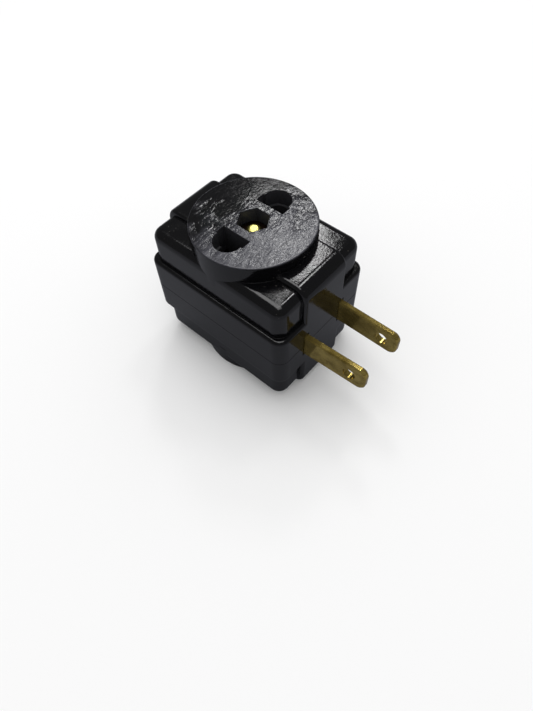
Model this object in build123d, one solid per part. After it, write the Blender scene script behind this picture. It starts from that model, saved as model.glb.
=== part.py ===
from build123d import *
import math
import os

# Two-pole cube tap: two moulded half shells, a pair of flat plug blades at the front
# and a flat-pin outlet on the top, the underside and the rear.
# Frame: X across the blades, blades point to -Y, +Z up, millimetres. The origin lies
# midway between the blades on the flat plug face, and z = 0 is the parting plane.

# Standard flat-pin pattern
PIN_SPACING = 12.7
BLADE_THICKNESS = 1.5
BLADE_HEIGHT = 6.4
BLADE_REACH = 16.0
BLADE_TAIL = 11.0
BLADE_TIP_RADIUS = 1.9
BLADE_BEVEL = 0.3
BLADE_HOLE_Y = -11.9
BLADE_HOLE_RADIUS = 1.55
BLADE_SIDE_PLAY = 0.2
BLADE_END_PLAY = 0.4

# How far use has bent each blade inwards, in degrees, from the front wall's inner side on
LEFT_BLADE_LEAN = 2.2
RIGHT_BLADE_LEAN = 0.0

# Moulded body
BODY_LENGTH = 40.2
BELT_WIDTH = 30.0
BELT_HALF_HEIGHT = 7.9
WALL_WIDTH = 27.8
WALL_SETBACK = 1.1
PLATE_Z = 16.3
CORNER_RADIUS = 2.8
PLATE_EDGE_RADIUS = 2.3
BELT_EDGE_RADIUS = 0.9
SEAM_BEVEL = 0.1
BAND_WIDTH = 14.0
BAND_RISE = 1.2
BAND_END_RADIUS = 3.2
BAND_SIDE_RADIUS = 0.9
DISC_RADIUS = 13.95
UPPER_DISC_Z = 20.35
LOWER_DISC_Z = PLATE_Z + BAND_RISE
DISC_ROOT_DEPTH = 4.0
DISC_EDGE_RADIUS = 0.35
DISC_Y = BODY_LENGTH / 2

# Outlet openings in the discs: a flat slot that widens outwards into a round well, which
# the slot's inner edge cuts off straight
SLOT_INNER_X = 5.3
SLOT_WIDTH = 2.2
SLOT_LENGTH = 7.2
WELL_X = 7.9
WELL_RADIUS = 3.15
WELL_STEP_RADIUS = 2.6
UPPER_WELL_DEPTH = 3.75
LOWER_WELL_DEPTH = 2.2
RIM_BEVEL = 0.15
REAR_SLOT_LENGTH = 7.4

# Pole chambers inside the shells
CHAMBER_INNER_X = 2.6
CHAMBER_OUTER_X = 11.5
CHAMBER_Y0 = 3.2
CHAMBER_ROOF_Z = 13.6
CHAMBER_RADIUS = 1.0
RIB_Z = 10.0
RIB_THICKNESS = 1.6
RIB_PLACES_Y = (12.0, 28.8)
TAIL_RIB_Y = 6.6
TAIL_RIB_THICKNESS = 1.4
PEG_RADIUS = 1.1
PEG_HEIGHT = 1.6
PEG_BEVEL = 0.3
PEG_PLAY = 0.1
PEG_Y = 7.0

# Clamping screw through the middle
SCREW_RADIUS = 1.75
SCREW_CLEARANCE_RADIUS = 1.95
SCREW_HEAD_RADIUS = 3.25
SCREW_HEAD_HEIGHT = 2.2
SCREW_HEAD_ROUNDING = 1.1
SCREW_SLOT_WIDTH = 0.9
SCREW_SLOT_DEPTH = 1.0
SCREW_END_ROUNDING = 1.0
SCREW_END_Z = UPPER_DISC_Z - 2.2
BOSS_RADIUS = 4.1
NUT_ACROSS_FLATS = 6.0
NUT_THICKNESS = 2.4
NUT_CORNER_DROP = 0.25
NUT_CORNER_INSET = 0.45
NUT_POCKET_ACROSS_FLATS = 6.3
NUT_POCKET_FLOOR_Z = UPPER_DISC_Z - 5.6
HEAD_POCKET_RADIUS = 3.6
HEAD_POCKET_FLOOR_Z = -(LOWER_DISC_Z - 4.0)
WASHER_RADIUS = 3.4
WASHER_THICKNESS = 0.5
WASHER_BORE_PLAY = 0.05
SPRING_WASHER_RADIUS = 2.9
SPRING_WASHER_THICKNESS = 0.8
SPRING_WASHER_GAP = 0.5

# Contact metal
BUS_THICKNESS = 0.8
BUS_HALF_HEIGHT = 3.4
BUS_ARM_Z = 11.6
BUS_ARM_Y0 = 16.4
BUS_ARM_Y1 = 28.6
LEAF_THICKNESS = 0.6
LEAF_LOW_Z = 4.9
LEAF_HIGH_Z = 10.6
LEAF_BEND_RADIUS = 0.45
LEAF_WEB_GAP = 0.5
LEAF_LEAD = 3.2
LEAF_BOW = 0.4
LEAF_FLARE = 0.9
FACE_TAB_Y = 28.3
REAR_TAB_Z = 7.4
REAR_CLIP_Y0 = 29.6
REAR_CLIP_Y1 = 35.0
REAR_ARM_Z = 7.6
RIVET_RADIUS = 0.8
RIVET_HEAD_RADIUS = 1.3
RIVET_HEAD_HEIGHT = 0.5
RIVET_HEAD_BEVEL = 0.3

# Where the rivets go through the bus, as (y, z)
BLADE_RIVET_PLACES = [(5.2, 0.0), (9.4, 0.0)]
TOP_RIVET_PLACE = (26.6, 7.2)
BOTTOM_RIVET_PLACE = (26.6, -7.2)
REAR_RIVET_PLACE = (32.4, 5.4)
CLIP_RIVET_PLACES = [TOP_RIVET_PLACE, BOTTOM_RIVET_PLACE, REAR_RIVET_PLACE]

PIN_X = PIN_SPACING / 2
BLADE_OUTER_X = PIN_X + BLADE_THICKNESS / 2
BLADE_INNER_X = PIN_X - BLADE_THICKNESS / 2
BUS_OUTER_X = BLADE_OUTER_X + BUS_THICKNESS
TAB_INNER_X = BLADE_OUTER_X - LEAF_THICKNESS
REAR_WALL_Y = BODY_LENGTH - CHAMBER_Y0

# How far a cutting tool runs past the face that it cuts
CUT = 1.0


def block(x0, x1, y0, y1, z0, z1):
    """A plain block between two corners."""
    size = (x1 - x0, y1 - y0, z1 - z0)
    return Pos((x0 + x1) / 2, (y0 + y1) / 2, (z0 + z1) / 2) * Box(*size)


def upright(x, y, radius, z0, z1):
    """A cylinder along Z."""
    return Pos(x, y, (z0 + z1) / 2) * Cylinder(radius, z1 - z0)


def crosswise(x0, x1, y, z, radius):
    """A cylinder along X."""
    return Pos((x0 + x1) / 2, y, z) * Rot(0, 90, 0) * Cylinder(radius, x1 - x0)


def walls():
    """The narrower box that rises from the belt, rounded at its corners and its plate."""
    half = WALL_WIDTH / 2
    body = block(-half, half, WALL_SETBACK, BODY_LENGTH - WALL_SETBACK, 0, PLATE_Z)
    body = fillet(body.edges().filter_by(Axis.Z), CORNER_RADIUS)
    return fillet(body.edges().group_by(Axis.Z)[-1], PLATE_EDGE_RADIUS)


def belt():
    """The proud belt that runs round the body at mid height."""
    half = BELT_WIDTH / 2
    body = block(-half, half, 0, BODY_LENGTH, 0, BELT_HALF_HEIGHT)
    body = fillet(body.edges().filter_by(Axis.Z), CORNER_RADIUS)
    body = fillet(body.edges().group_by(Axis.Z)[-1], BELT_EDGE_RADIUS)
    return chamfer(body.edges().group_by(Axis.Z)[0], SEAM_BEVEL)


def band():
    """The proud band over the plate and down both ends, level with the belt."""
    half = BAND_WIDTH / 2
    foot = BELT_HALF_HEIGHT / 2
    body = block(-half, half, 0, BODY_LENGTH, foot, PLATE_Z + BAND_RISE)
    ends = body.edges().filter_by(Axis.X).group_by(Axis.Z)[-1]
    body = fillet(ends, BAND_END_RADIUS)
    sides = [e for e in body.edges() if abs(abs(e.center().X) - half) < 0.01]
    return fillet([e for e in sides if e.center().Z > foot + 0.1], BAND_SIDE_RADIUS)


def outlet_disc(face_z):
    """The round face that carries an outlet."""
    body = upright(0, DISC_Y, DISC_RADIUS, PLATE_Z - DISC_ROOT_DEPTH, face_z)
    return fillet(body.edges().group_by(Axis.Z)[-1], DISC_EDGE_RADIUS)


def chamber(side):
    """The hollow for one pole, with the ribs that hold its metal left standing."""
    x0, x1 = sorted((side * CHAMBER_INNER_X, side * CHAMBER_OUTER_X))
    hollow = block(x0, x1, CHAMBER_Y0, REAR_WALL_Y, -CUT, CHAMBER_ROOF_Z)
    hollow = fillet(hollow.edges().filter_by(Axis.Z), CHAMBER_RADIUS)
    hollow -= upright(0, DISC_Y, BOSS_RADIUS, -2 * CUT, CHAMBER_ROOF_Z + CUT)
    for y in RIB_PLACES_Y:
        rib_x = sorted((side * BUS_OUTER_X, side * (CHAMBER_OUTER_X + CUT)))
        hollow -= block(*rib_x, y, y + RIB_THICKNESS, -2 * CUT, RIB_Z)
    tail_x = sorted((side * (CHAMBER_INNER_X - CUT), side * BLADE_INNER_X))
    hollow -= block(*tail_x, TAIL_RIB_Y, TAIL_RIB_Y + TAIL_RIB_THICKNESS, -2 * CUT, RIB_Z)
    return hollow


def outlet_opening(side, face_z, well_depth):
    """The flat slot and its round well, with the narrower step deep inside."""
    slot_x = sorted((side * SLOT_INNER_X, side * (SLOT_INNER_X + SLOT_WIDTH)))
    half = SLOT_LENGTH / 2
    deep, high = CHAMBER_ROOF_Z - CUT, face_z + CUT
    slot = block(*slot_x, DISC_Y - half, DISC_Y + half, deep, high)
    well = upright(side * WELL_X, DISC_Y, WELL_RADIUS, face_z - well_depth, high)
    step = upright(side * WELL_X, DISC_Y, WELL_STEP_RADIUS, deep, high)
    outer_x = sorted((side * SLOT_INNER_X, side * (WELL_X + WELL_RADIUS + CUT)))
    outwards = block(*outer_x, DISC_Y - 2 * half, DISC_Y + 2 * half, deep - CUT, high + CUT)
    return slot + ((well + step) & outwards)


def end_notch(side, y0, y1, width, half_height):
    """Half of a flat-pin slot, open at the parting plane."""
    x = side * PIN_X
    return block(x - width / 2, x + width / 2, y0, y1, -CUT, half_height)


def half_shell(face_z, well_depth):
    """What both shells share, modelled as the upper one."""
    shell = belt() + walls() + band() + outlet_disc(face_z)
    blade_notch = BLADE_THICKNESS + 2 * BLADE_SIDE_PLAY
    for side in (-1, 1):
        shell -= chamber(side)
        shell -= outlet_opening(side, face_z, well_depth)
        shell -= end_notch(side, -CUT, CHAMBER_Y0 + CUT, blade_notch, BLADE_HEIGHT / 2 + BLADE_END_PLAY)
        shell -= end_notch(side, REAR_WALL_Y - CUT, BODY_LENGTH + CUT, SLOT_WIDTH, REAR_SLOT_LENGTH / 2)
    shell -= upright(0, DISC_Y, SCREW_CLEARANCE_RADIUS, -CUT, face_z + CUT)
    return shell


def hexagon(across_flats, z0, z1):
    """A hexagonal prism on the screw axis, two of its flats towards the slots."""
    corner = across_flats / math.sqrt(3)
    turns = [math.pi * k / 3 for k in range(6)]
    points = [(corner * math.sin(turn), corner * math.cos(turn)) for turn in turns]
    return Pos(0, DISC_Y, z0) * extrude(make_face(Polyline(*points, close=True)), z1 - z0)


def rimmed(face):
    """The shell with the rims of the openings in its outlet face taken off."""
    rims = [e for wire in face.inner_wires() for e in wire.edges()]
    return chamfer(rims, RIM_BEVEL)


def upper_shell():
    """Upper half with the nut's pocket and the peg sockets."""
    shell = half_shell(UPPER_DISC_Z, UPPER_WELL_DEPTH)
    shell -= hexagon(NUT_POCKET_ACROSS_FLATS, NUT_POCKET_FLOOR_Z, UPPER_DISC_Z + CUT)
    shell = rimmed(shell.faces().sort_by(Axis.Z)[-1])
    for y in (PEG_Y, BODY_LENGTH - PEG_Y):
        shell -= upright(0, y, PEG_RADIUS + PEG_PLAY, -CUT, PEG_HEIGHT + 2 * PEG_PLAY)
    return shell


def lower_shell():
    """Lower half with the screw head's pocket and the locating pegs."""
    shell = mirror(half_shell(LOWER_DISC_Z, LOWER_WELL_DEPTH), about=Plane.XY)
    shell -= upright(0, DISC_Y, HEAD_POCKET_RADIUS, -LOWER_DISC_Z - CUT, HEAD_POCKET_FLOOR_Z)
    shell = rimmed(shell.faces().sort_by(Axis.Z)[0])
    for y in (PEG_Y, BODY_LENGTH - PEG_Y):
        peg = upright(0, y, PEG_RADIUS, -CUT, PEG_HEIGHT)
        shell += chamfer(peg.edges().group_by(Axis.Z)[-1], PEG_BEVEL)
    return shell


def blade(side, lean):
    """A flat plug blade with a rounded, bevelled tip and a hole, bent inwards by its lean."""
    x, half = side * PIN_X, BLADE_HEIGHT / 2
    x0, x1 = x - BLADE_THICKNESS / 2, x + BLADE_THICKNESS / 2
    free = block(x0, x1, -BLADE_REACH, CHAMBER_Y0, -half, half)
    free = fillet(free.edges().filter_by(Axis.X).group_by(Axis.Y)[0], BLADE_TIP_RADIUS)
    curve_y = -BLADE_REACH + BLADE_TIP_RADIUS - BLADE_BEVEL
    around_tip = [e for e in free.edges() if e.center().Y < curve_y and e.length > 1.2 * BLADE_THICKNESS]
    free = chamfer(around_tip, BLADE_BEVEL)
    free -= crosswise(x0 - CUT, x1 + CUT, BLADE_HOLE_Y, 0, BLADE_HOLE_RADIUS)
    corner = Pos(x + side * BLADE_THICKNESS / 2, CHAMBER_Y0, 0)
    free = corner * Rot(0, 0, -side * lean) * corner.inverse() * free
    body = free + block(x0, x1, CHAMBER_Y0, BLADE_TAIL, -half, half)
    for y, z in BLADE_RIVET_PLACES:
        body -= crosswise(x0 - CUT, x1 + CUT, y, z, RIVET_RADIUS)
    return body


def bus(side):
    """The brass strip of one pole, with arms beside the top, underside and rear slots."""
    x0, x1 = sorted((side * BLADE_OUTER_X, side * BUS_OUTER_X))
    strip = block(x0, x1, CHAMBER_Y0, REAR_WALL_Y, -BUS_HALF_HEIGHT, BUS_HALF_HEIGHT)
    strip += block(x0, x1, BUS_ARM_Y0, BUS_ARM_Y1, -BUS_ARM_Z, BUS_ARM_Z)
    strip += block(x0, x1, BUS_ARM_Y1 - CUT, REAR_CLIP_Y1, BUS_HALF_HEIGHT - CUT, REAR_ARM_Z)
    for y, z in BLADE_RIVET_PLACES + CLIP_RIVET_PLACES:
        strip -= crosswise(x0 - CUT, x1 + CUT, y, z, RIVET_RADIUS)
    return strip


def leaf(start, web, lead, low, high):
    """Spring leaf from sheet metal: tab along the bus, web round the slot's end, bowed leaf."""
    tab_x = TAB_INNER_X + LEAF_THICKNESS / 2
    leaf_x = BLADE_INNER_X - LEAF_THICKNESS / 2
    line = FilletPolyline(
        (tab_x, start),
        (tab_x, web),
        (leaf_x - LEAF_BOW - 0.1, web),
        (leaf_x - 0.1, (web + 2 * lead) / 3),
        (leaf_x - LEAF_FLARE, lead),
        radius=LEAF_BEND_RADIUS,
    )
    outline = offset(line, amount=LEAF_THICKNESS / 2, side=Side.BOTH)
    return Pos(0, 0, low) * extrude(make_face(outline.edges()), high - low)


def riveted(clip, side, place):
    """A clip with its rivet hole, on its own side of the tap."""
    clip -= crosswise(0, BUS_OUTER_X + CUT, *place, RIVET_RADIUS)
    return clip if side > 0 else mirror(clip, about=Plane.YZ)


def face_clip(side, up):
    """The folded spring leaf beside a top or underside slot."""
    web = DISC_Y + BLADE_HEIGHT / 2 + LEAF_WEB_GAP
    low, high = sorted((up * LEAF_LOW_Z, up * LEAF_HIGH_Z))
    clip = leaf(FACE_TAB_Y, web, DISC_Y - LEAF_LEAD, low, high)
    return riveted(clip, side, TOP_RIVET_PLACE if up > 0 else BOTTOM_RIVET_PLACE)


def rear_clip(side):
    """The same leaf turned on its side for the rear slot: its tab stands on the bus."""
    web = BLADE_HEIGHT / 2 + LEAF_WEB_GAP
    clip = leaf(REAR_TAB_Z, web, -LEAF_LEAD, -REAR_CLIP_Y1, -REAR_CLIP_Y0)
    return riveted(Rot(90, 0, 0) * clip, side, REAR_RIVET_PLACE)


def rivet(side, y, z, inner_x):
    """A rivet across the bus and the piece that lies against it."""
    x0, x1 = sorted((side * inner_x, side * BUS_OUTER_X))
    shank = crosswise(x0, x1, y, z, RIVET_RADIUS)
    low = crosswise(x0 - RIVET_HEAD_HEIGHT, x0, y, z, RIVET_HEAD_RADIUS)
    high = crosswise(x1, x1 + RIVET_HEAD_HEIGHT, y, z, RIVET_HEAD_RADIUS)
    low = chamfer(low.edges().sort_by(Axis.X)[0], RIVET_HEAD_BEVEL)
    high = chamfer(high.edges().sort_by(Axis.X)[-1], RIVET_HEAD_BEVEL)
    return shank + low + high


def rivets(side, places, inner_x):
    """Identical rivets of one pole, as separate solids."""
    return Compound(children=[Compound([rivet(side, y, z, inner_x)]) for y, z in places])


def clamp_screw():
    """Pan-head screw from the underside, with a slot and a domed end."""
    seat = HEAD_POCKET_FLOOR_Z - WASHER_THICKNESS - SPRING_WASHER_THICKNESS
    face = seat - SCREW_HEAD_HEIGHT
    half = SCREW_SLOT_WIDTH / 2
    head = upright(0, DISC_Y, SCREW_HEAD_RADIUS, face, seat)
    head = fillet(head.edges().group_by(Axis.Z)[0], SCREW_HEAD_ROUNDING)
    slot_x = SCREW_HEAD_RADIUS + CUT
    head -= block(-slot_x, slot_x, DISC_Y - half, DISC_Y + half, face - CUT, face + SCREW_SLOT_DEPTH)
    shank = upright(0, DISC_Y, SCREW_RADIUS, seat - CUT / 2, SCREW_END_Z)
    return head + fillet(shank.edges().group_by(Axis.Z)[-1], SCREW_END_ROUNDING)


def clamp_nut():
    """Hexagonal nut with its corners turned off on both faces, seated in the top pocket."""
    z0, z1 = NUT_POCKET_FLOOR_Z, NUT_POCKET_FLOOR_Z + NUT_THICKNESS
    corner = NUT_ACROSS_FLATS / math.sqrt(3)
    turned = upright(0, DISC_Y, corner, z0, z1)
    turned = chamfer(turned.edges().filter_by(GeomType.CIRCLE), NUT_CORNER_DROP, NUT_CORNER_INSET)
    nut = hexagon(NUT_ACROSS_FLATS, z0, z1) & turned
    return nut - upright(0, DISC_Y, SCREW_RADIUS, z0 - CUT, z1 + CUT)


def washer(radius, top, thickness):
    """A flat ring on the screw."""
    ring = upright(0, DISC_Y, radius, top - thickness, top)
    return ring - upright(0, DISC_Y, SCREW_RADIUS + WASHER_BORE_PLAY, top - thickness - CUT, top + CUT)


def spring_washer():
    """The split ring between the screw head and the flat washer."""
    top = HEAD_POCKET_FLOOR_Z - WASHER_THICKNESS
    half = SPRING_WASHER_GAP / 2
    ring = washer(SPRING_WASHER_RADIUS, top, SPRING_WASHER_THICKNESS)
    floor = top - SPRING_WASHER_THICKNESS - CUT
    return ring - block(0, SPRING_WASHER_RADIUS + CUT, DISC_Y - half, DISC_Y + half, floor, top + CUT)


def write(name, shape):
    """One STEP file per piece."""
    export_step(shape, os.path.join("parts", name + ".step"))


os.makedirs("parts", exist_ok=True)
write("upper_shell", upper_shell())
write("lower_shell", lower_shell())
for name, side, lean in (("left", -1, LEFT_BLADE_LEAN), ("right", 1, RIGHT_BLADE_LEAN)):
    write("blade_" + name, blade(side, lean))
    write("bus_" + name, bus(side))
    write("top_clip_" + name, face_clip(side, 1))
    write("bottom_clip_" + name, face_clip(side, -1))
    write("rear_clip_" + name, rear_clip(side))
    write("blade_rivets_" + name, rivets(side, BLADE_RIVET_PLACES, BLADE_INNER_X))
    write("clip_rivets_" + name, rivets(side, CLIP_RIVET_PLACES, TAB_INNER_X))
write("clamp_screw", clamp_screw())
write("clamp_nut", clamp_nut())
write("flat_washer", washer(WASHER_RADIUS, HEAD_POCKET_FLOOR_Z, WASHER_THICKNESS))
write("spring_washer", spring_washer())
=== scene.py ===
import math

import bpy
from mathutils import Matrix, Vector

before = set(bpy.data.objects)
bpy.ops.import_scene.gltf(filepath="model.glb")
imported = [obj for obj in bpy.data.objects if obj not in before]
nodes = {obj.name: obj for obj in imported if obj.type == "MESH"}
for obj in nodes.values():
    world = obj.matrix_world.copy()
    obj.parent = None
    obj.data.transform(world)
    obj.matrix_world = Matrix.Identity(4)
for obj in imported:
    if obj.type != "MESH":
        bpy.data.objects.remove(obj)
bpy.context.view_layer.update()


# The viewpoint: a phone's main camera held close, in front of the left corner and well above.
# Its lens is wide, so the near corner looms and the uprights run together downwards.
MM = 0.001
VIEW_AZIMUTH = math.radians(-47.03)
VIEW_ELEVATION = math.radians(57.03)
VIEW_ROLL = math.radians(-2.6)
VIEW_DISTANCE = 121.0 * MM
VIEW_AIM = Vector((-12.73, 6.21, -3.29)) * MM
VIEW_LENS = 26.84
VIEW_SENSOR = 36
VIEW_NEAR = 5 * MM
VIEW_FAR = 5

flat = math.cos(VIEW_ELEVATION)
back = Vector((math.sin(VIEW_AZIMUTH) * flat,
               -math.cos(VIEW_AZIMUTH) * flat,
               math.sin(VIEW_ELEVATION)))
level = Vector((math.cos(VIEW_AZIMUTH), math.sin(VIEW_AZIMUTH), 0))
upward = back.cross(level)
right = level * math.cos(VIEW_ROLL) + upward * math.sin(VIEW_ROLL)
upright = upward * math.cos(VIEW_ROLL) - level * math.sin(VIEW_ROLL)
bpy.ops.object.camera_add()
camera = bpy.context.object
camera.data.lens = VIEW_LENS
camera.data.sensor_width = VIEW_SENSOR
camera.data.clip_start = VIEW_NEAR
camera.data.clip_end = VIEW_FAR
turn = Matrix((right, upright, back)).transposed()
camera.matrix_world = Matrix.Translation(VIEW_AIM + back * VIEW_DISTANCE) @ turn.to_4x4()
bpy.context.scene.camera = camera


# Lower shell: the half that everything else is laid into. It is wood-filled phenolic, pressed hot
# in a polished steel mould, so its walls are glossy black and every edge is a little soft.
# Its outlet face has been rubbed to a streaky satin by the plugs pushed against it, and greyed
# partly by wear and partly by a painted sheen.
SHELL_BLACK = "#08080a"
# the grey of the outlet faces is partly worn-open filler and partly a painted sheen
SHELL_RUBBED_AND_SHEEN = "#4a4a51"
# the charcoal inside the openings is dust and also painted fill light
SHELL_DUST_AND_FILL_LIGHT = "#2e2e32"
DUST_GREY = "#8a857c"
SHELL_IOR = 1.6
EDGE_SOFTNESS = 0.12 * MM

# where the outlet faces, their openings and the wear and painted sheen on them lie
UPPER_FACE = 20.35 * MM
LOWER_FACE = -17.5 * MM
FACE_FADE = 0.25 * MM
FACE_FULL = 0.2 * FACE_FADE
DISC_CENTRE = Vector((0, 20.1, 0)) * MM
WELL_REACH = 12.2 * MM
RUB_AND_SHEEN_FRONT = 12 * MM
RUB_AND_SHEEN_BACK = 28 * MM
RUB_AND_SHEEN_LEAN = 0.025 / MM
RUB_AND_SHEEN_CLOUDING = 1.6
WEAR_AND_SHEEN_FROM = 0.45
WEAR_AND_SHEEN_FULL = 1.15

# sizes of the patterns in millimetres, and the span that most of a noise keeps to
CLOUD_CELLS = (6.0, 3.5, 3.5)
MARK_CELLS = (1.5, 0.42, 0.42)
SMUDGE_CELLS = (0.5, 0.5, 0.5)
TOUCH_CELLS = (4.0, 4.0, 4.0)
LINT_CELLS = (0.6, 0.4, 0.4)
NOISE_LOW = 0.3
NOISE_HIGH = 0.7

# roughness: the moulded skin, the rubbed faces and the dusty insides
GLOSS_CLEAN = 0.07
GLOSS_HANDLED = 0.16
HANDLED_FROM = 0.18
HANDLED_FULL = 0.36
SATIN_BACK = 0.11
SATIN_FRONT = 0.20
MARK_FROM = 0.35
MARK_FULL = 0.65
SATIN_CLEARED = 0.55
SATIN_DEEPENED = 1.3
DUSTY_ROUGHNESS = 0.5

# how much of the greying by wear and painted sheen is left between the rub marks
GREY_LEAST = 0.5

# sparse lint: a speck where its noise peaks, in the patches that have been touched most
LINT_FROM = 0.69
LINT_FULL = 0.79
LINT_COVER = 0.6
PATCH_FROM = 0.48
PATCH_FULL = 0.62
PATCH_COVER = 0.8

# depths of the relief, and the share of it that the least worn part of a face has
SWELL_DEPTH = 0.26 * MM
RUB_DEPTH = 0.065 * MM
SKIN_DEPTH = 0.035 * MM
RELIEF_LEAST = 0.12


def linear(colour):
    """An sRGB hex colour as the linear RGBA that the shader takes."""
    parts = [int(colour[i:i + 2], 16) / 255 for i in (1, 3, 5)]
    light = [c / 12.92 if c <= 0.04045 else ((c + 0.055) / 1.055) ** 2.4 for c in parts]
    return (*light, 1.0)


def add(tree, kind, settings=None, **links):
    """Adds one shader node and sets its values. Links each input that is named, or numbered
    as _0 or _1, to a socket or to a node's first output."""
    node = tree.nodes.new("ShaderNode" + kind)
    for key, value in (settings or {}).items():
        if isinstance(key, int) or key in node.inputs:
            node.inputs[key].default_value = value
        else:
            setattr(node, key, value)
    for key, source in links.items():
        target = int(key[1:]) if key[1:].isdigit() else key.replace("_", " ")
        tree.links.new(getattr(source, "outputs", [source])[0], node.inputs[target])
    return node


def finish_named(name, **constants):
    """A new material and its shader, with what is the same all over set on the shader."""
    material = bpy.data.materials.new(name)
    material.use_nodes = True
    shader = material.node_tree.nodes["Principled BSDF"]
    for key, value in constants.items():
        shader.inputs[key.replace("_", " ")].default_value = value
    return material, material.node_tree, shader


def cells(x_mm, y_mm, z_mm):
    """The Mapping scale that makes a pattern's cells this many millimetres long."""
    return Vector((1 / (x_mm * MM), 1 / (y_mm * MM), 1 / (z_mm * MM)))


def dress(piece, material):
    """Gives a piece its finish."""
    piece.data.materials.clear()
    piece.data.materials.append(material)


def pressed_phenolic():
    """Wood-filled black phenolic: a mirror-like skin, dulled, streaked and greyed on the outlet
    faces, the grey partly wear and partly a painted sheen.
    """
    material, tree, shader = finish_named("pressed_phenolic", IOR=SHELL_IOR)
    place = add(tree, "TexCoord").outputs["Object"]
    split = add(tree, "SeparateXYZ", Vector=place)

    # only the two outlet faces are rubbed
    on_top = add(tree, "MapRange", {
        "From Min": UPPER_FACE - FACE_FADE, "From Max": UPPER_FACE - FACE_FULL,
    }, Value=split.outputs["Z"])
    below = add(tree, "MapRange", {
        "From Min": LOWER_FACE + FACE_FADE, "From Max": LOWER_FACE + FACE_FULL,
    }, Value=split.outputs["Z"])
    rubbed = add(tree, "Math", {"operation": "MAXIMUM"}, _0=on_top, _1=below)

    # the rubbing, and the painted sheen laid over it, has gone furthest at the front and the left
    # of a face, in clouds of some 5 mm
    broad = add(tree, "Mapping", {"Scale": cells(*CLOUD_CELLS)}, Vector=place)
    clouds = add(tree, "TexNoise", {"Scale": 1.0, "Detail": 4.0, "Roughness": 0.6}, Vector=broad)
    forwards = add(tree, "MapRange", {
        "From Min": RUB_AND_SHEEN_BACK, "From Max": RUB_AND_SHEEN_FRONT, "To Min": -0.5, "To Max": 0.5,
    }, Value=split.outputs["Y"])
    leftwards = add(tree, "Math", {
        "operation": "MULTIPLY_ADD", 1: -RUB_AND_SHEEN_LEAN,
    }, _0=split.outputs["X"], _2=forwards)
    spread = add(tree, "Math", {
        "operation": "MULTIPLY_ADD", 1: RUB_AND_SHEEN_CLOUDING,
    }, _0=clouds, _2=leftwards)
    wear_and_sheen = add(tree, "MapRange", {"From Min": WEAR_AND_SHEEN_FROM, "From Max": WEAR_AND_SHEEN_FULL}, Value=spread)

    # inside the openings dust has settled, which leaves them a dull charcoal; the charcoal is also
    # painted fill light, so that their walls show
    footprint = add(tree, "VectorMath", {"operation": "MULTIPLY", 1: (1, 1, 0)}, _0=place)
    radius = add(tree, "VectorMath", {"operation": "DISTANCE", 1: DISC_CENTRE}, _0=footprint)
    within = add(tree, "MapRange", {
        "From Min": WELL_REACH + FACE_FADE, "From Max": WELL_REACH,
    }, Value=radius.outputs["Value"])
    sunk = add(tree, "Math", {"operation": "SUBTRACT", 0: 1.0}, _1=rubbed)
    dust_and_fill_light = add(tree, "Math", {"operation": "MULTIPLY"}, _0=within, _1=sunk)

    # rub marks 1.5 mm long and 0.4 mm wide lie across the faces
    along = add(tree, "Mapping", {"Scale": cells(*MARK_CELLS)}, Vector=place)
    streaks = add(tree, "TexNoise", {"Scale": 1.0, "Detail": 3.0, "Roughness": 0.55}, Vector=along)

    # fingermarks: smudges of 0.5 mm, thick and thin in patches of 4 mm
    fine = add(tree, "Mapping", {"Scale": cells(*SMUDGE_CELLS)}, Vector=place)
    smudges = add(tree, "TexNoise", {"Scale": 1.0, "Detail": 3.0, "Roughness": 0.6}, Vector=fine)
    wide = add(tree, "Mapping", {"Scale": cells(*TOUCH_CELLS)}, Vector=place)
    touched = add(tree, "TexNoise", {"Scale": 1.0, "Detail": 1.0}, Vector=wide)
    handled = add(tree, "Math", {"operation": "MULTIPLY"}, _0=smudges, _1=touched)

    # the moulded skin is glossy, the rubbed faces are satin and clearer along the rub marks
    gloss = add(tree, "MapRange", {
        "From Min": HANDLED_FROM, "From Max": HANDLED_FULL,
        "To Min": GLOSS_CLEAN, "To Max": GLOSS_HANDLED,
    }, Value=handled)
    satin = add(tree, "MapRange", {"To Min": SATIN_BACK, "To Max": SATIN_FRONT}, Value=wear_and_sheen)
    uneven = add(tree, "MapRange", {
        "From Min": MARK_FROM, "From Max": MARK_FULL,
        "To Min": SATIN_CLEARED, "To Max": SATIN_DEEPENED,
    }, Value=streaks)
    dull = add(tree, "Math", {"operation": "MULTIPLY"}, _0=satin, _1=uneven)
    faces = add(tree, "Mix", {"data_type": "FLOAT"}, Factor=rubbed, _2=gloss, _3=dull)
    rough = add(tree, "Mix", {"data_type": "FLOAT", 3: DUSTY_ROUGHNESS}, Factor=dust_and_fill_light, _2=faces)
    tree.links.new(rough.outputs[0], shader.inputs["Roughness"])

    # rubbing also greys the black, as it lays the wood filler open; this grey, lighter towards the
    # front and left, is also a painted sheen
    worn_and_sheen = add(tree, "Math", {"operation": "MULTIPLY"}, _0=wear_and_sheen, _1=rubbed)
    patchy = add(tree, "MapRange", {
        "From Min": NOISE_LOW, "From Max": NOISE_HIGH, "To Min": GREY_LEAST,
    }, Value=streaks)
    greyed = add(tree, "Math", {"operation": "MULTIPLY"}, _0=worn_and_sheen, _1=patchy)
    black = add(tree, "Mix", {
        "data_type": "RGBA", 6: linear(SHELL_BLACK), 7: linear(SHELL_RUBBED_AND_SHEEN),
    }, Factor=greyed)
    colour = add(tree, "Mix", {
        "data_type": "RGBA", 7: linear(SHELL_DUST_AND_FILL_LIGHT),
    }, Factor=dust_and_fill_light, _6=black.outputs[2])

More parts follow.
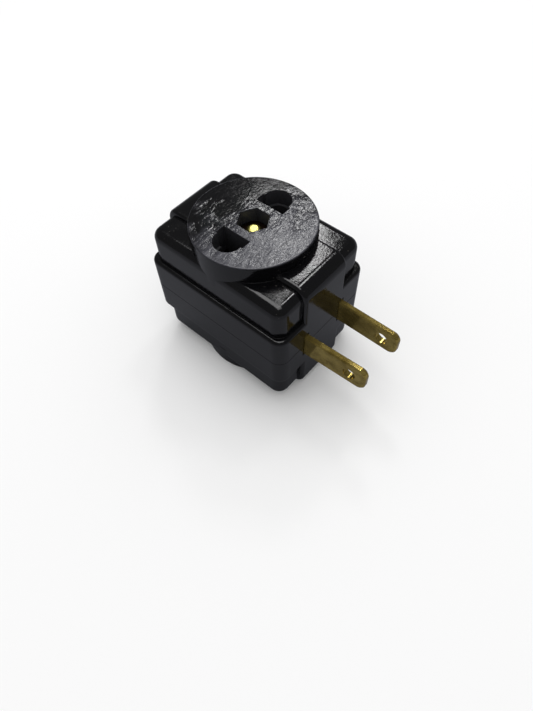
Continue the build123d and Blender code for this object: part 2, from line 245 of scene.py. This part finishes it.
    # lint and dust cling to the skin in sparse specks of about 0.2 mm
    loose = add(tree, "Mapping", {"Scale": cells(*LINT_CELLS)}, Vector=place)
    lint = add(tree, "TexNoise", {"Scale": 1.0, "Detail": 2.0}, Vector=loose)
    sparse = add(tree, "MapRange", {
        "From Min": LINT_FROM, "From Max": LINT_FULL, "To Max": LINT_COVER,
    }, Value=lint)
    patches = add(tree, "MapRange", {
        "From Min": PATCH_FROM, "From Max": PATCH_FULL, "To Max": PATCH_COVER,
    }, Value=touched)
    settled = add(tree, "Math", {"operation": "MULTIPLY"}, _0=sparse, _1=patches)
    clinging = add(tree, "Math", {"operation": "MULTIPLY"}, _0=settled, _1=sunk)
    linty = add(tree, "Mix", {
        "data_type": "RGBA", 7: linear(DUST_GREY),
    }, Factor=clinging, _6=colour.outputs[2])
    tree.links.new(linty.outputs[2], shader.inputs["Base Color"])

    # relief: soft edges, the swell and the rub marks of the worn faces, fingermarks all over
    soft = add(tree, "Bevel", {"samples": 4, "Radius": EDGE_SOFTNESS})
    share = add(tree, "MapRange", {"To Min": RELIEF_LEAST}, Value=wear_and_sheen)
    scuffed = add(tree, "Math", {"operation": "MULTIPLY"}, _0=share, _1=rubbed)
    swelling = add(tree, "Math", {"operation": "MULTIPLY"}, _0=clouds, _1=scuffed)
    swell = add(tree, "Bump", {"Distance": SWELL_DEPTH}, Height=swelling, Normal=soft)
    ridges = add(tree, "Math", {"operation": "MULTIPLY"}, _0=streaks, _1=scuffed)
    marks = add(tree, "Bump", {"Distance": RUB_DEPTH}, Height=ridges, Normal=swell)
    ripple = add(tree, "Bump", {"Distance": SKIN_DEPTH}, Height=handled, Normal=marks)
    tree.links.new(ripple.outputs[0], shader.inputs["Normal"])
    return material


phenolic = pressed_phenolic()
dress(nodes["lower_shell"], phenolic)


# Plug blades: 1.5 mm half-hard brass strip, blanked, drilled and brushed along its length.
# Handling has left them olive and speckled, cleaner in some places and browner in others.
BLADE_BRASS = "#d0b868"
BLADE_TARNISH = "#96803c"
BLADE_METALLIC = 0.85
BLADE_POLISHED = 0.08
BLADE_DULLED = 0.14
BRUSH_CELLS = (0.12, 7.0, 0.12)
STAIN_CELLS = (2.2, 3.0, 2.2)
SPECK_CELLS = (0.3, 0.4, 0.3)
SPECK_SHARE = 0.5
TARNISH_FROM = 0.6
TARNISH_FULL = 0.95
BRUSH_DEPTH = 0.002 * MM
PIT_DEPTH = 0.004 * MM


def brushed_brass():
    """Brushed brass with brown tarnish: soft lines along the blade, cloudy stains and specks.
    It is a little less than fully metallic, for the film of tarnish that scatters light."""
    material, tree, shader = finish_named("brushed_tarnished_brass", Metallic=BLADE_METALLIC)
    place = add(tree, "TexCoord").outputs["Object"]

    # real brush lines are under 0.05 mm wide, too fine to show, so these are 0.12 mm
    along = add(tree, "Mapping", {"Scale": cells(*BRUSH_CELLS)}, Vector=place)
    lines = add(tree, "TexNoise", {"Scale": 1.0, "Detail": 4.0}, Vector=along)

    # stains of 2 to 3 mm with specks of 0.3 mm in them
    broad = add(tree, "Mapping", {"Scale": cells(*STAIN_CELLS)}, Vector=place)
    stains = add(tree, "TexNoise", {"Scale": 1.0, "Detail": 5.0}, Vector=broad)
    fine = add(tree, "Mapping", {"Scale": cells(*SPECK_CELLS)}, Vector=place)
    specks = add(tree, "TexNoise", {"Scale": 1.0, "Detail": 4.0}, Vector=fine)
    mixed = add(tree, "Math", {
        "operation": "MULTIPLY_ADD", 1: SPECK_SHARE,
    }, _0=specks, _2=stains)
    dark = add(tree, "MapRange", {"From Min": TARNISH_FROM, "From Max": TARNISH_FULL}, Value=mixed)
    colour = add(tree, "Mix", {
        "data_type": "RGBA", 6: linear(BLADE_BRASS), 7: linear(BLADE_TARNISH),
    }, Factor=dark)
    tree.links.new(colour.outputs[2], shader.inputs["Base Color"])

    rough = add(tree, "MapRange", {
        "From Min": NOISE_LOW, "From Max": NOISE_HIGH,
        "To Min": BLADE_POLISHED, "To Max": BLADE_DULLED,
    }, Value=specks)
    tree.links.new(rough.outputs[0], shader.inputs["Roughness"])
    brush = add(tree, "Bump", {"Distance": BRUSH_DEPTH}, Height=lines)
    pits = add(tree, "Bump", {"Distance": PIT_DEPTH}, Height=specks, Normal=brush)
    tree.links.new(pits.outputs[0], shader.inputs["Normal"])
    return material


blade_brass = brushed_brass()
for pole in ("left", "right"):
    dress(nodes["blade_" + pole], blade_brass)


# Bus strips: 0.8 mm sheet brass, one beside each blade, with an arm up and an arm down.
# They are pressed and left unplated, and only glimpses of them show through the slots.
STRIP_BRASS = "#8f7640"
STRIP_BRIGHT = 0.3
STRIP_DULLED = 0.45
ROLLING_CELLS = (0.2, 6.0, 0.2)


def sheet_brass():
    """Rolled sheet brass gone dull inside the body: an even brown tone with faint rolling
    lines, drawn 0.2 mm wide because real ones are too fine to show."""
    material, tree, shader = finish_named(
        "rolled_sheet_brass", Metallic=1.0, Base_Color=linear(STRIP_BRASS))
    place = add(tree, "TexCoord").outputs["Object"]
    along = add(tree, "Mapping", {"Scale": cells(*ROLLING_CELLS)}, Vector=place)
    lines = add(tree, "TexNoise", {"Scale": 1.0, "Detail": 3.0}, Vector=along)
    rough = add(tree, "MapRange", {
        "From Min": NOISE_LOW, "From Max": NOISE_HIGH,
        "To Min": STRIP_BRIGHT, "To Max": STRIP_DULLED,
    }, Value=lines)
    tree.links.new(rough.outputs[0], shader.inputs["Roughness"])
    return material


contact_brass = sheet_brass()
for pole in ("left", "right"):
    dress(nodes["bus_" + pole], contact_brass)


# Spring leaves: the same sheet, folded round the end of each slot and riveted to the bus strip.
# There are three for each pole, at the top, the underside and the rear.
for pole in ("left", "right"):
    for outlet in ("top", "bottom", "rear"):
        dress(nodes[outlet + "_clip_" + pole], contact_brass)


# Rivets: turned brass, set cold through strip and blade or strip and leaf.
# Their heads keep the lathe's finish and are a little brighter than the sheet.
RIVET_BRASS = "#a98c46"
TURNED_CELLS = (0.15, 0.15, 0.15)


def turned_brass(name, colour, low, high):
    """Turned brass of an even colour. The lathe's rings are too fine to show, so a mottle of
    0.15 mm varies its roughness from low to high."""
    material, tree, shader = finish_named(name, Metallic=1.0, Base_Color=linear(colour))
    place = add(tree, "TexCoord").outputs["Object"]
    fine = add(tree, "Mapping", {"Scale": cells(*TURNED_CELLS)}, Vector=place)
    mottle = add(tree, "TexNoise", {"Scale": 1.0, "Detail": 2.0}, Vector=fine)
    rough = add(tree, "MapRange", {
        "From Min": NOISE_LOW, "From Max": NOISE_HIGH, "To Min": low, "To Max": high,
    }, Value=mottle)
    tree.links.new(rough.outputs[0], shader.inputs["Roughness"])
    return material


rivet_brass = turned_brass("turned_rivet_brass", RIVET_BRASS, low=0.25, high=0.4)
for pole in ("left", "right"):
    dress(nodes["blade_rivets_" + pole], rivet_brass)
    dress(nodes["clip_rivets_" + pole], rivet_brass)


# Upper shell: the same pressed phenolic, laid over the lower half on its two pegs.
# It carries the raised top outlet face and the pocket that keeps the nut from turning.
dress(nodes["upper_shell"], phenolic)


# Clamping screw: turned brass, put in from the underside, with a slotted pan head.
# Its domed end is the one bright spot in the top pocket.
SCREW_BRASS = "#eae084"

screw_brass = turned_brass("turned_screw_brass", SCREW_BRASS, low=0.24, high=0.34)
dress(nodes["clamp_screw"], screw_brass)


# Clamping nut: a small hexagon of the same brass, browned almost black by age and flux,
# so it is hardly seen in its deep pocket.
NUT_BROWN = "#261b12"

nut_brass = turned_brass("browned_nut_brass", NUT_BROWN, low=0.35, high=0.5)
dress(nodes["clamp_nut"], nut_brass)


# Washers: a flat ring and a split spring ring of zinc-plated steel under the screw's head.
# The plating is a soft, slightly blue grey.
ZINC_GREY = "#a9abae"
ZINC_BRIGHT = 0.32
ZINC_MATT = 0.45
ZINC_CELLS = (0.5, 0.5, 0.5)


def zinc_plate():
    """Barrel zinc plating on stamped steel: matt silver with a faint mottle."""
    material, tree, shader = finish_named(
        "zinc_plated_steel", Metallic=1.0, Base_Color=linear(ZINC_GREY))
    place = add(tree, "TexCoord").outputs["Object"]
    fine = add(tree, "Mapping", {"Scale": cells(*ZINC_CELLS)}, Vector=place)
    mottle = add(tree, "TexNoise", {"Scale": 1.0, "Detail": 3.0}, Vector=fine)
    rough = add(tree, "MapRange", {
        "From Min": NOISE_LOW, "From Max": NOISE_HIGH,
        "To Min": ZINC_BRIGHT, "To Max": ZINC_MATT,
    }, Value=mottle)
    tree.links.new(rough.outputs[0], shader.inputs["Roughness"])
    return material


zinc = zinc_plate()
for washer in ("flat_washer", "spring_washer"):
    dress(nodes[washer], zinc)


# The set: the tap stands on its lower outlet face on a pale floor, which fades into the white
# surround. Four soft boxes light it, of which the outlet face mirrors the small dim doorway. What
# mirrors see of the floor and the surround is darker, like the room it was photographed in.
FLOOR_PALE = "#f4f4f4"
FLOOR_DIM = "#8c8c8e"
FLOOR_MIRRORED = "#808187"
FLOOR_ROUGHNESS = 0.9
FLOOR_SHEEN = 0.1
FLOOR_SIZE = 3
FLOOR_Z = LOWER_FACE - 0.02 * MM
FLOOR_NEAR = 80 * MM
FLOOR_FAR = 280 * MM
LAMP_AIM = Vector((0, 20 * MM, 0))
ROOM_STRENGTH = 0.72
ROOM_MIRRORED = 0.10
WHITE = (1, 1, 1, 1)
BLACK = (0, 0, 0, 1)

bpy.ops.object.select_all(action="DESELECT")
bpy.ops.mesh.primitive_plane_add(size=FLOOR_SIZE, location=(0, 0, FLOOR_Z))
floor = bpy.context.object
floor.name = "floor"
floor_paint, tree, shader = finish_named(
    "matt_floor_paint", Roughness=FLOOR_ROUGHNESS, Specular_IOR_Level=FLOOR_SHEEN,
    Emission_Color=WHITE)

# the camera sees the pale tone, a mirror the mirrored one, and the light that the floor
# sends back to the object has the dim one
sight = add(tree, "LightPath")
through = add(tree, "Math", {
    "operation": "MAXIMUM",
}, _0=sight.outputs["Is Camera Ray"], _1=sight.outputs["Is Transmission Ray"])
mirrored = add(tree, "Mix", {
    "data_type": "RGBA", 6: linear(FLOOR_DIM), 7: linear(FLOOR_MIRRORED),
}, Factor=sight.outputs["Is Glossy Ray"])
tone = add(tree, "Mix", {
    "data_type": "RGBA", 7: linear(FLOOR_PALE),
}, Factor=through, _6=mirrored.outputs[2])

# further out its paint gives way to plain white, so that no horizon shows
spot = add(tree, "TexCoord").outputs["Object"]
reach = add(tree, "VectorMath", {"operation": "LENGTH"}, _0=spot)
far = add(tree, "MapRange", {
    "interpolation_type": "SMOOTHSTEP", "From Min": FLOOR_NEAR, "From Max": FLOOR_FAR,
}, Value=reach.outputs["Value"])
white = add(tree, "Math", {"operation": "MULTIPLY"}, _0=far, _1=through)
paint = add(tree, "Mix", {"data_type": "RGBA", 7: BLACK}, Factor=white, _6=tone.outputs[2])
tree.links.new(paint.outputs[2], shader.inputs["Base Color"])
tree.links.new(white.outputs[0], shader.inputs["Emission Strength"])
floor.data.materials.append(floor_paint)


def soft_box(name, azimuth, elevation, distance, size, watts):
    """A square soft box turned to the object: its direction in degrees, the rest in metres."""
    across = math.cos(math.radians(elevation))
    way = Vector((math.sin(math.radians(azimuth)) * across,
                  -math.cos(math.radians(azimuth)) * across,
                  math.sin(math.radians(elevation))))
    bpy.ops.object.light_add(type="AREA", location=LAMP_AIM + way * distance)
    lamp = bpy.context.object
    lamp.name = name
    lamp.data.size = size
    lamp.data.energy = watts
    lamp.rotation_mode = "QUATERNION"
    lamp.rotation_quaternion = way.to_track_quat("Z", "Y")


soft_box("window", azimuth=154, elevation=72, distance=0.6, size=0.32, watts=0.8)
soft_box("doorway", azimuth=127.5, elevation=46.3, distance=0.6, size=0.085, watts=0.25)
soft_box("overhead", azimuth=-20, elevation=84, distance=0.7, size=0.3, watts=0.6)
soft_box("skylight", azimuth=99, elevation=59.5, distance=0.6, size=0.08, watts=0.18)

# the surround is white to the camera, plain light to the object and dim in mirrors
surround = bpy.data.worlds.new("surround")
bpy.context.scene.world = surround
surround.use_nodes = True
tree = surround.node_tree
sky = tree.nodes["Background"]
sky.inputs["Color"].default_value = WHITE
sight = add(tree, "LightPath")
through = add(tree, "Math", {
    "operation": "MAXIMUM",
}, _0=sight.outputs["Is Camera Ray"], _1=sight.outputs["Is Transmission Ray"])
mirrored = add(tree, "MapRange", {
    "To Min": ROOM_STRENGTH, "To Max": ROOM_MIRRORED,
}, Value=sight.outputs["Is Glossy Ray"])
strength = add(tree, "Mix", {"data_type": "FLOAT", 3: 1.0}, Factor=through, _2=mirrored)
tree.links.new(strength.outputs[0], sky.inputs["Strength"])
bpy.context.scene.view_settings.view_transform = "Standard"
